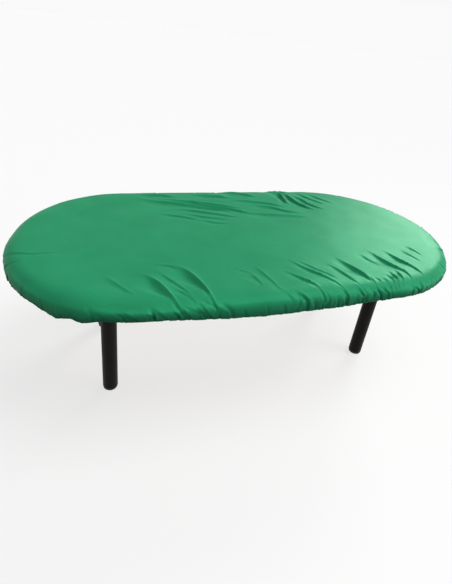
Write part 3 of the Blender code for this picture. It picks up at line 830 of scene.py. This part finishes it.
def undulation(plan, rng):
    """Slow shallow waves over the whole sheet."""
    waves = np.zeros(len(plan))
    for _ in range(WAVES):
        turn = rng.uniform(0, math.tau)
        length = rng.uniform(*WAVE_LENGTHS)
        phase = rng.uniform(0, math.tau)
        along = plan @ np.array([math.cos(turn), math.sin(turn)])
        waves += WAVE_SLOPE * length * np.sin(math.tau * along / length + phase)
    return waves


def cover_lift(plan):
    """How far each point of the flat cut stands off the smooth cover."""
    rng = random.Random(7)
    lift = undulation(plan, rng)
    for fold in FOLDS + gathers(rng):
        add_fold(lift, plan, fold)
    return lift


def evenly(samples):
    """Places at even distances round the table."""
    return np.arange(samples) / samples * PERIMETER


def ring_plan(reach, places):
    """Points round the flat cut at one distance from its spine, at given places round it."""
    second = places >= PERIMETER / 2
    place = np.where(second, places - PERIMETER / 2, places)
    turn = np.clip((place - 2 * REACH) / RADIUS, 0, np.pi) - np.pi / 2
    centre = np.minimum(place, 2 * REACH) - REACH
    plan = np.column_stack([centre + reach * np.cos(turn), reach * np.sin(turn)])
    return np.where(second[:, None], -plan, plan)


def fill_plan():
    """Points inside the rim band on a triangular grid, closest together beside the folds."""
    inner = RADIUS - RIM_INNER
    rows = int(inner / (FINE_STEP * math.sqrt(3) / 2))
    columns = int((REACH + inner) / FINE_STEP) + rows
    i, j = np.meshgrid(np.arange(-columns, columns + 1), np.arange(-rows, rows + 1))
    i, j = i.ravel(), j.ravel()
    plan = np.column_stack([FINE_STEP * (i + j / 2), FINE_STEP * math.sqrt(3) / 2 * j])
    _, reach, _ = round_the_table(plan)
    inside = reach < inner - 0.7 * FINE_STEP
    i, j, plan, reach = i[inside], j[inside], plan[inside], reach[inside]
    gap = np.full(len(plan), np.inf)
    for points, _, _, start_width, end_width in FOLDS:
        line = smooth_line(points)
        near = close_to(line, plan, STRIP_MARGIN * start_width)
        place, right = beside(line, plan[near])
        width = start_width + (end_width - start_width) * place
        gap[near] = np.minimum(gap[near], np.abs(right - FINE_SHIFT * width) / width)
    rim_gap = (inner - reach) / FINE_STEP
    fine = (gap < FINE_REACH) | (rim_gap < FINE_RIM)
    middling = ((gap < MIDDLING_REACH) | (rim_gap < MIDDLING_RIM)) & (i % 2 == 0) & (j % 2 == 0)
    coarse = (i % 4 == 0) & (j % 4 == 0)
    return plan[fine | middling | coarse]


def cover_mesh():
    """The cover's sheet: a band of rows round its rim, and a fill of triangles inside it."""
    reaches = np.linspace(RADIUS - RIM_INNER, CUT_RADIUS, RIM_ROWS)
    band = np.vstack([ring_plan(reach, evenly(RIM_SAMPLES)) for reach in reaches])
    fill = fill_plan()
    loop = list(range(RIM_SAMPLES))
    outline = [Vector(point) for point in np.vstack([band[:RIM_SAMPLES], fill])]
    _, _, triangles, origins, _, _ = delaunay_2d_cdt(outline, [], [loop], 1, 1e-7)
    band_faces = []
    for row in range(RIM_ROWS - 1):
        low, high = row * RIM_SAMPLES, (row + 1) * RIM_SAMPLES
        for k in range(RIM_SAMPLES):
            following = (k + 1) % RIM_SAMPLES
            band_faces.append((low + k, high + k, high + following, low + following))
    shift = len(band) - RIM_SAMPLES
    number = [source[0] if source[0] < RIM_SAMPLES else source[0] + shift for source in origins]
    fill_faces = [tuple(number[corner] for corner in triangle) for triangle in triangles]
    plan = np.vstack([band, fill])
    mesh = mesh_from("cover", on_the_table(plan, cover_lift(plan)), band_faces + fill_faces)
    _, reach, _ = round_the_table(plan)
    give_attribute(mesh, "from_hem", CUT_RADIUS - reach)
    mark_cut(mesh, plan)
    return mesh


def make_cover(material):
    mesh = cover_mesh()
    sheet = piece("cover", mesh, "cover", material, ["cover_sheet"], 80)
    thick = sheet.modifiers.new("thickness", "SOLIDIFY")
    thick.thickness = SHEET_THICK
    thick.offset = -1
    return sheet


def make_hem_band(sheet, material):
    """The casing of the elastic: a gathered tube that runs along the sheet's own edge."""
    first = (RIM_ROWS - 1) * RIM_SAMPLES
    edge = [sheet.data.vertices[first + k].co for k in range(RIM_SAMPLES)]
    plan = ring_plan(CUT_RADIUS, evenly(RIM_SAMPLES))
    _, _, outward = round_the_table(plan)
    rng = random.Random(3)
    points = []
    swell = 0.0
    for place, out in zip(edge, outward):
        swell = SWELL_KEPT * swell + rng.uniform(-SWELL_CHANGE, SWELL_CHANGE)
        radius = HEM_BAND_RADIUS * (1 + swell)
        for side in range(HEM_BAND_SIDES):
            turn = math.tau * side / HEM_BAND_SIDES
            across = radius * math.cos(turn) - 0.5 * HEM_BAND_RADIUS
            points.append((place[0] + out[0] * across, place[1] + out[1] * across,
                           place[2] + radius * math.sin(turn)))
    faces = closed_rings(RIM_SAMPLES, HEM_BAND_SIDES, True)
    tube = facing_out(mesh_from("hem_band", points, faces))
    mark_cut(tube, np.repeat(plan, HEM_BAND_SIDES, axis=0))
    piece("hem_band", tube, "cover", material, ["hem_elastic"], 60)


# ---- under the cover ----


def spine_and_outward(places):
    """Points on the line between the round ends' centres, and the directions out from it."""
    spine = ring_plan(0.0, places)
    return spine, ring_plan(1.0, places) - spine


def carried_round(name, section, places):
    """A closed section of arrays of inset and z, carried round the table."""
    spine, outward = spine_and_outward(places)
    points = []
    for inset, z in section:
        ring = spine + outward * (RADIUS - inset)[:, None]
        points += list(np.column_stack([ring, z]))
    faces = closed_rings(len(section), len(places), True)
    return facing_out(mesh_from(name, points, faces))


def rail_places():
    """Places along the rail, close together at each seam."""
    beside_seam = np.linspace(-SEAM_REACH, SEAM_REACH, SEAM_ROWS)
    places = np.concatenate([evenly(RAIL_SAMPLES), *(seam + beside_seam for seam in SEAMS)])
    return np.unique(np.round(np.mod(places, PERIMETER), 5))


def seam_dip(places):
    """How deep the stitching pulls the vinyl in at each place, with the swell beside it."""
    dip = np.zeros(len(places))
    for seam in SEAMS:
        away = np.abs((places - seam + PERIMETER / 2) % PERIMETER - PERIMETER / 2)
        dip += SEAM_DEPTH * np.exp(-(away / SEAM_WIDTH) ** 2)
        past = (away - 4 * SEAM_WIDTH) / (2 * SEAM_WIDTH)
        dip -= 0.35 * SEAM_DEPTH * np.exp(-past**2)
    return dip


def rail_section(places):
    """The rail's skin: a padded dome over sides that wrap the ring, creased where it bends."""
    rng = random.Random(11)
    bends = np.zeros(len(places))
    on_end = np.mod(places, PERIMETER / 2) > 2 * REACH
    for _ in range(CREASE_WAVES):
        length = rng.uniform(*CREASE_LENGTHS)
        bends += np.sin(math.tau * places / length + rng.uniform(0, math.tau)) / CREASE_WAVES
    slack = 0.0005 * np.sin(places * 9.0) + 0.0004 * np.sin(places * 23.0 + 1.0)
    dip = seam_dip(places)
    section = []
    for turn in np.linspace(0, np.pi, RAIL_STEPS):
        inner = max(0.0, -math.cos(turn)) ** 3 * math.sin(turn)
        crease = np.where(on_end, RAIL_CREASE * inner * bends, 0)
        sunk = (dip + crease - slack) * math.sin(turn)
        inset = RAIL_MIDDLE - (RAIL_HALF - sunk) * math.cos(turn)
        z = RAIL_TOP - RAIL_DOME + (RAIL_DOME - sunk) * math.sin(turn)
        section.append((inset, z))
    flat = np.ones(len(places))
    first, last = RAIL_SIDE, RAIL_INNER
    inside = [(last, RING_LOW.z), (last - SKIN, RING_LOW.z), (last - SKIN, RING_HIGH.z + AIR),
              (first + SKIN, RING_HIGH.z + AIR), (first + SKIN, RING_LOW.z), (first, RING_LOW.z)]
    return section + [(inset * flat, z * flat) for inset, z in inside]


def make_rail(material):
    places = rail_places()
    mesh = carried_round("rail", rail_section(places), places)
    covered = ["rail_vinyl", "rail_foam"]
    rail = piece("rail", mesh, "table_top", material, covered, 60)


def stitch(start, end, up):
    """Corners and faces of one stitch: a four-sided spindle with its middle raised."""
    along = end - start
    across = np.cross(along, up)
    across *= STITCH_RADIUS / np.linalg.norm(across)
    rise = up * STITCH_RADIUS
    points = [start]
    for place, lift in ((0.2, 0.6), (0.5, 1.0), (0.8, 0.6)):
        middle = start + along * place + rise * lift
        points += [middle + across, middle + rise, middle - across, middle - rise]
    points.append(end)
    faces = []
    for i in range(4):
        j = (i + 1) % 4
        faces.append((0, 1 + i, 1 + j))
        faces.append((13, 9 + j, 9 + i))
        for row in (1, 5):
            faces.append((row + i, row + 4 + i, row + 4 + j, row + j))
    return points, faces


def rail_point(place, turn):
    """A point on the rail's dome and the direction out of it."""
    (spine,), (out,) = spine_and_outward(np.array([place % PERIMETER]))
    inset = RAIL_MIDDLE - RAIL_HALF * math.cos(turn)
    plan = spine + out * (RADIUS - inset)
    height = RAIL_TOP - RAIL_DOME + RAIL_DOME * math.sin(turn)
    up = np.array([*(out * math.cos(turn) * RAIL_DOME / RAIL_HALF), math.sin(turn)])
    return np.array([*plan, height]), up / np.linalg.norm(up)


def make_stitches(material):
    """Two rows of stitches along each seam of the rail."""
    points, faces = [], []
    for seam in SEAMS:
        for side in (-1, 1):
            for turn in np.arange(*STITCH_SPAN, STITCH_SPACING):
                place = seam + side * STITCH_OFFSET
                start, up = rail_point(place, turn)
                end, _ = rail_point(place, turn + STITCH_SHARE * STITCH_SPACING)
                lift = up * STITCH_LIFT
                corners, sides = stitch(start + lift, end + lift, up)
                faces += [tuple(len(points) + corner for corner in face) for face in sides]
                points += corners
    mesh = facing_out(mesh_from("rail_stitches", points, faces))
    piece("rail_stitches", mesh, "table_top", material)


def make_playing_cloth(material):
    """Cloth drawn tight over its foam and tucked down beside the rail."""
    places = evenly(CLOTH_SAMPLES)
    half = CLOTH_HIGH.y
    edge = RADIUS - half
    insets = [edge, edge, edge + 0.002, edge + 0.008, edge + 0.020]
    insets += list(np.arange(edge + 0.04, RADIUS - 0.01, 0.03))
    points = []
    for row, inset in enumerate(insets):
        tuck = CLOTH_TUCK * math.exp((edge - inset) / TUCK_REACH)
        level = CLOTH_LOW.z + AIR if row == 0 else CLOTH_HIGH.z - tuck
        ripple = CLOTH_RIPPLE * np.sin(places * 31.0) * math.exp((edge - inset) / RIPPLE_REACH)
        z = level - CLOTH_RIPPLE + (ripple if row > 1 else 0 * ripple)
        points += list(np.column_stack([ring_plan(RADIUS - inset, places), z]))
    mesh = facing_out(mesh_from("cloth", points, closed_rings(len(insets), CLOTH_SAMPLES)))
    give_attribute(mesh, "inset", np.repeat(insets, CLOTH_SAMPLES))
    cloth = piece("cloth", mesh, "table_top", material, ["playing_cloth"])


def betting_line(made, coat):
    """A pale line printed round the playing cloth."""
    inset = stored(made, "inset")
    away = combine(made, "ABSOLUTE", combine(made, "SUBTRACT", inset, LINE_INSET), 0)
    on_line = spread(made, away, 0.85, 0, LINE_WIDTH / 2, LINE_WIDTH / 2 + 0.0008)
    layer(made, coat, on_line, LINE_COLOUR)


def playing_felt():
    made = woven("playing_felt", (0.008, 0.105, 0.048), (0.020, 0.190, 0.092))
    shader = made.node_tree.nodes["Principled BSDF"]
    betting_line(made, shader.inputs["Base Color"].links[0].from_socket)
    return made


# ---- the legs and their fittings ----


def middle_of(node):
    low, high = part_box(node)
    return (low.x + high.x) / 2, (low.y + high.y) / 2


def fitted(name, mesh, node, body, material, place, flip=False):
    """A shared fitting, set at its place as the stand-in for one CAD node."""
    copy = mesh.copy()
    copy.materials.clear()
    turn = Matrix.Rotation(math.pi if flip else 0, 4, "Z")
    copy.transform(Matrix.Translation(place) @ turn)
    return piece(name, copy, body, material, [node])


def tube_profile(bore, radius, low, high):
    """A wall with its four edges eased."""
    ease = 0.25 * (radius - bore)
    return [
        (bore, low + ease), (bore + ease, low), (radius - ease, low), (radius, low + ease),
        (radius, high - ease), (radius - ease, high), (bore + ease, high), (bore, high - ease),
    ]


def hexagon(half_flats):
    """Outline with six flat sides."""
    def outline(turn):
        return half_flats / math.cos((turn % (math.pi / 3)) - math.pi / 6)
    return outline


def knurl(radius):
    """Outline with shallow ribs."""
    def outline(turn):
        return radius * (1 - KNURL_DEPTH * abs(math.sin(KNURLS * turn / 2)))
    return outline


def hex_rings(half_flats, low, high):
    """Rings of a six-sided head with both of its faces chamfered."""
    cut = hexagon(half_flats)
    corner_radius = half_flats / math.cos(math.pi / 6)
    ease = 0.55 * (corner_radius - half_flats)
    return [
        (half_flats * 0.98, low), (corner_radius, low + ease, cut),
        (corner_radius, high - ease, cut), (half_flats * 0.98, high),
    ]


def laid_along(mesh, axis):
    """Lays what was turned about Z along Y, by turning it about X, or along X, about Y."""
    mesh.transform(Matrix.Rotation(math.radians(-90), 4, axis))
    return mesh


def pivot_bolt_mesh(low, high, grip):
    flats = HEAD_FLATS / 2
    shank = [(PIVOT_RADIUS, -grip), (PIVOT_RADIUS, grip)]
    profile = hex_rings(flats, low, -grip) + shank + hex_rings(flats, grip, high)
    return laid_along(turned("pivot_bolt", profile, 48), "X")


def rail_bolt_mesh(low, high):
    head_top = low + BOLT_HEAD_THICK
    washer = head_top - BOLT_WASHER_THICK
    profile = hex_rings(BOLT_FLATS / 2, low, washer)
    profile += [
        (BOLT_WASHER_RADIUS, washer), (BOLT_WASHER_RADIUS, head_top), (BOLT_RADIUS, head_top),
        (BOLT_RADIUS, high - 0.001), (BOLT_RADIUS - 0.001, high),
    ]
    return turned("rail_bolt", profile, 48)


def pull_pin_mesh(tip, end):
    """Pin with a knurled knob, turned along Z from its tip to its knob's end."""
    start = end - KNOB_LENGTH
    grip = knurl(KNOB_RADIUS)
    neck = start + 0.3 * KNOB_LENGTH
    profile = [
        (PIN_RADIUS - 0.001, tip), (PIN_RADIUS, tip + 0.001), (PIN_RADIUS, start),
        (KNOB_RADIUS - 0.001, start), (KNOB_RADIUS, start + 0.001),
        (KNOB_RADIUS, neck - 0.0012), (KNOB_RADIUS - 0.0012, neck),
        (KNOB_RADIUS, neck + 0.0012, grip), (KNOB_RADIUS, end - 0.0024, grip),
        (KNOB_RADIUS - 0.0016, end - 0.0006), (KNOB_RADIUS - 0.0030, end),
    ]
    return laid_along(turned("pull_pin", profile, 6 * KNURLS), "Y")


def levelling_foot_mesh(pad_radius, pad_thick, stem_top):
    """Rubber pad with two grooves round it, on a threaded stem."""
    groove, lip = 0.0009, 0.0018
    profile = [(pad_radius - 0.0035, 0.0), (pad_radius - 0.0015, 0.0006), (pad_radius, 0.0025)]
    for height in (0.0045, 0.0075):
        profile += [(pad_radius, height - groove), (pad_radius - lip, height),
                    (pad_radius, height + groove)]
    profile += [(pad_radius, pad_thick - 0.0014), (pad_radius - 0.0008, pad_thick - 0.0004),
                (pad_radius - 0.0022, pad_thick), (STEM_RADIUS + 0.0008, pad_thick)]
    rows = int((stem_top - pad_thick) / THREAD_PITCH * 6)
    profile += [(STEM_RADIUS, z, thread_at(z)) for z in np.linspace(pad_thick, stem_top, rows)]
    return turned("levelling_foot", profile, 36)


def thread_at(z):
    """Outline of a screw thread at one height."""
    def outline(turn):
        phase = (z / THREAD_PITCH - turn / math.tau) % 1
        return STEM_RADIUS - THREAD_DEPTH * abs(2 * phase - 1)
    return outline


def screw_mesh(low, high):
    """Pan-headed screw with a cross recess in its head, which faces down."""
    head_top = low + SCREW_HEAD_THICK
    profile = [
        (0.55 * SCREW_HEAD_RADIUS, low), (0.85 * SCREW_HEAD_RADIUS, low + 0.0006),
        (SCREW_HEAD_RADIUS, low + 0.0016), (SCREW_HEAD_RADIUS, head_top),
        (SCREW_RADIUS, head_top), (SCREW_RADIUS, high - 0.002), (0.0006, high),
    ]
    body = in_scene("screw", turned("screw", profile, 32))
    helpers = [body]
    for reach in ((0.0026, 0.0006), (0.0006, 0.0026)):
        slot = in_scene("slot", bar_mesh(reach, low - 0.001, low + 0.0018))
        body.modifiers.new("cut", "BOOLEAN").object = slot
        helpers.append(slot)
    depsgraph = bpy.context.evaluated_depsgraph_get()
    mesh = bpy.data.meshes.new_from_object(body.evaluated_get(depsgraph))
    for helper in helpers:
        bpy.data.objects.remove(helper)
    return mesh


def bar_mesh(reach, low, high):
    x, y = reach
    rings = [[(-x, -y, z), (x, -y, z), (x, y, z), (-x, y, z)] for z in (low, high)]
    return facing_out(mesh_from("bar", rings[0] + rings[1], closed_rings(2, 4)))


def make_leg(corner, looks, shared):
    """One leg's tube, foot and fittings. On the right, bolt and pin turn half way round."""
    low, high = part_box(f"leg_tube_{corner}")
    radius = (high.x - low.x) / 2
    x, y = middle_of(f"leg_tube_{corner}")
    rings = tube_profile(radius - TUBE_WALL, radius, low.z, high.z)
    tube = turned("leg_tube", rings, LEG_SIDES, closed=True)
    low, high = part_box(f"foot_cap_{corner}")
    cap = turned("foot_cap", cap_profile(radius, low.z, high.z), LEG_SIDES, closed=True)
    leg, flip = f"leg_{corner}", corner.endswith("right")
    fittings = [
        ("tube", tube, "leg_tube", leg, "leg_paint", 0, False),
        ("cap", cap, "foot_cap", leg, "black_plastic", 0, False),
        ("pad", shared["foot"], "levelling_foot", f"foot_{corner}", "foot_rubber", 0, False),
        ("bolt", shared["pivot"], "pivot_bolt", "table_top", "zinc", PIVOT_Z, flip),
        ("pin", shared["pin"], "pull_pin", f"pin_{corner}", "zinc", PIN_Z, flip),
    ]
    for name, mesh, node, body, slot, z, flipped in fittings:
        fitted(f"{name}_{corner}", mesh, f"{node}_{corner}", body, looks[slot],
               (x, y, z), flipped)
    for number in range(1, 5):
        node = f"screw_{corner}_{number}"
        fitted(f"fixing_{corner}_{number}", shared["screw"], node, "table_top",
               looks["zinc"], (*middle_of(node), 0))


def cap_profile(radius, low, high):
    bore, plug = STEM_RADIUS + 0.0006, radius - TUBE_WALL - AIR
    shoulder = low + CAP_FLANGE
    return [
        (bore, low), (radius - 0.0008, low), (radius, low + 0.0008), (radius, shoulder - 0.0004),
        (radius - 0.0004, shoulder), (plug, shoulder), (plug, high - 0.0015),
        (plug - 0.0015, high), (bore, high),
    ]


def make_legs(looks):
    corner = CORNERS[0]
    x, y = middle_of(f"leg_tube_{corner}")
    foot_low, foot_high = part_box(f"levelling_foot_{corner}")
    screw_low, screw_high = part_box(f"screw_{corner}_1")
    reach = BOLT_HIGH.y - y
    shared = {
        "foot": levelling_foot_mesh((foot_high.x - foot_low.x) / 2, PAD_THICK, foot_high.z),
        "pivot": pivot_bolt_mesh(-reach, reach, reach - HEAD_GRIP),
        "pin": pull_pin_mesh(x - PIN_HIGH.x, x - PIN_LOW.x),
        "screw": screw_mesh(screw_low.z, screw_high.z),
    }
    for corner in CORNERS:
        make_leg(corner, looks, shared)


def make_rail_bolts(material):
    low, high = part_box("rail_bolt_left_end")
    mesh = rail_bolt_mesh(low.z, high.z)
    for name in RAIL_BOLTS:
        place = (*middle_of(f"rail_bolt_{name}"), 0)
        fitted(f"tie_{name}", mesh, f"rail_bolt_{name}", "table_top", material, place)


def dress(names, material, ease=None):
    """Gives CAD nodes a material, and eases their sharp edges."""
    for name in names:
        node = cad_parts[name]
        node.data.materials.clear()
        node.data.materials.append(material)
        if ease:
            bevel = node.modifiers.new("eased", "BEVEL")
            bevel.width = ease
            bevel.segments = 2
            bevel.limit_method = "ANGLE"
            bevel.angle_limit = math.radians(50)


# ---- the studio ----


def make_camera():
    data = bpy.data.cameras.new("camera")
    data.lens = CAMERA_LENS
    data.shift_x, data.shift_y = CAMERA_SHIFT
    camera = in_scene("camera", data)
    turn = Matrix.Rotation(math.radians(-CAMERA_YAW), 4, "Z")
    tip = Matrix.Rotation(math.radians(90 - CAMERA_PITCH), 4, "X")
    roll = Matrix.Rotation(math.radians(CAMERA_ROLL), 4, "Z")
    camera.matrix_world = Matrix.Translation(CAMERA_AT) @ turn @ tip @ roll
    bpy.context.scene.camera = camera


def make_floor():
    """A wide, pale, matt floor: a disc of rings, open round its outer edge."""
    rings = (0.5, 2.0, 6.0, 20.0, 60.0)
    steps = 64
    turns = [math.tau * step / steps for step in range(steps)]
    points = [(r * math.cos(turn), r * math.sin(turn), 0) for r in rings for turn in turns]
    mesh = mesh_from("floor", points, closed_rings(len(rings), steps)[:-1])
    material = start_material("floor", FLOOR_GREY, 0.9, specular=0.0)
    speckle = noise(material, coordinates(material), 3.0, 3.0)
    layer(material, scaled(FLOOR_GREY, 0.99), speckle, FLOOR_GREY)
    tune(material, {"Emission Color": (1.0, 1.0, 1.0, 1.0), "Emission Strength": FLOOR_GLOW})
    mesh.materials.append(material)
    floor = in_scene("floor", mesh)


def aimed(name, data, place, target):
    lamp = in_scene(name, data)
    lamp.location = place
    aim = Vector(target) - Vector(place)
    lamp.rotation_euler = aim.to_track_quat("-Z", "Y").to_euler()
    lamp.visible_camera = False


def softbox(name, place, target, size, power):
    data = bpy.data.lights.new(name, "AREA")
    data.shape = "RECTANGLE"
    data.size, data.size_y = size
    data.energy = power
    aimed(name, data, place, target)


def distant_light(name, turn, height, width, power):
    """A wide soft light from far away in one direction."""
    data = bpy.data.lights.new(name, "SUN")
    data.angle = math.radians(width)
    data.energy = power
    turn, height = math.radians(turn), math.radians(height)
    flat = math.cos(height)
    aimed(name, data, (flat * math.cos(turn), flat * math.sin(turn), math.sin(height)), (0, 0, 0))


def make_sky():
    """Even light from all round, brightest at the horizon and overhead."""
    world = bpy.data.worlds.new("studio")
    world.use_nodes = True
    place = add_node(world, "ShaderNodeTexCoord").outputs["Generated"]
    split = add_node(world, "ShaderNodeSeparateXYZ", {"Vector": place})
    ramp = add_node(world, "ShaderNodeValToRGB", {"Fac": split.outputs["Z"]})
    background = world.node_tree.nodes["Background"]
    world.node_tree.links.new(ramp.outputs["Color"], background.inputs["Color"])
    stops = ramp.color_ramp.elements
    for _ in SKY[2:]:
        stops.new(0.5)
    for stop, (height, grey) in zip(stops, SKY):
        stop.position = height
        stop.color = (grey, grey, grey, 1.0)
    bpy.context.scene.world = world


def make_lights():
    bpy.context.scene.view_settings.view_transform = "Standard"
    make_sky()
    for name, settings in DISTANT_LIGHTS.items():
        distant_light(name, *settings)
    softbox("right_fill", *RIGHT_FILL)


def make_looks():
    return {
        "rail_vinyl": vinyl("rail_black_vinyl", (0.014, 0.014, 0.015)),
        "thread": woven("stitching", (0.05, 0.05, 0.05), (0.11, 0.11, 0.10), 900.0),
        "playing_cloth": playing_felt(),
        "foam": foam("grey_foam", (0.50, 0.50, 0.52)),
        "plywood": wood("birch_plywood", (0.60, 0.43, 0.27), (0.42, 0.27, 0.15), True),
        "batten_wood": wood("pine_batten", (0.58, 0.40, 0.22), (0.38, 0.23, 0.11)),
        "leg_paint": powder_coat("leg_black", (0.0035, 0.003, 0.002), 0.42),
        "bracket_paint": powder_coat("bracket_black", (0.014, 0.014, 0.014), 0.50),
        "zinc": plated("bright_zinc", (0.60, 0.60, 0.58), 0.36),
        "black_plastic": moulded("cap_plastic", (0.012, 0.012, 0.012), 0.50, 700.0),
        "foot_rubber": moulded("pad_rubber", (0.018, 0.018, 0.018), 0.75, 420.0),
    }


def main():
    make_camera()
    make_floor()
    make_lights()
    fabric = satin("cover_satin", (0.010, 0.142, 0.063))
    sheet = make_cover(fabric)
    make_hem_band(sheet, fabric)
    looks = make_looks()
    make_rail(looks["rail_vinyl"])
    make_stitches(looks["thread"])
    make_playing_cloth(looks["playing_cloth"])
    make_legs(looks)
    make_rail_bolts(looks["zinc"])
    dress(["deck_board", "rail_ring"], looks["plywood"])
    dress(["playing_foam"], looks["foam"])
    dress(["batten_front", "batten_back"], looks["batten_wood"], 0.0015)
    dress([f"bracket_{corner}" for corner in CORNERS], looks["bracket_paint"], 0.0006)
    dress([f"leg_head_{corner}" for corner in CORNERS], looks["bracket_paint"], 0.0006)


main()
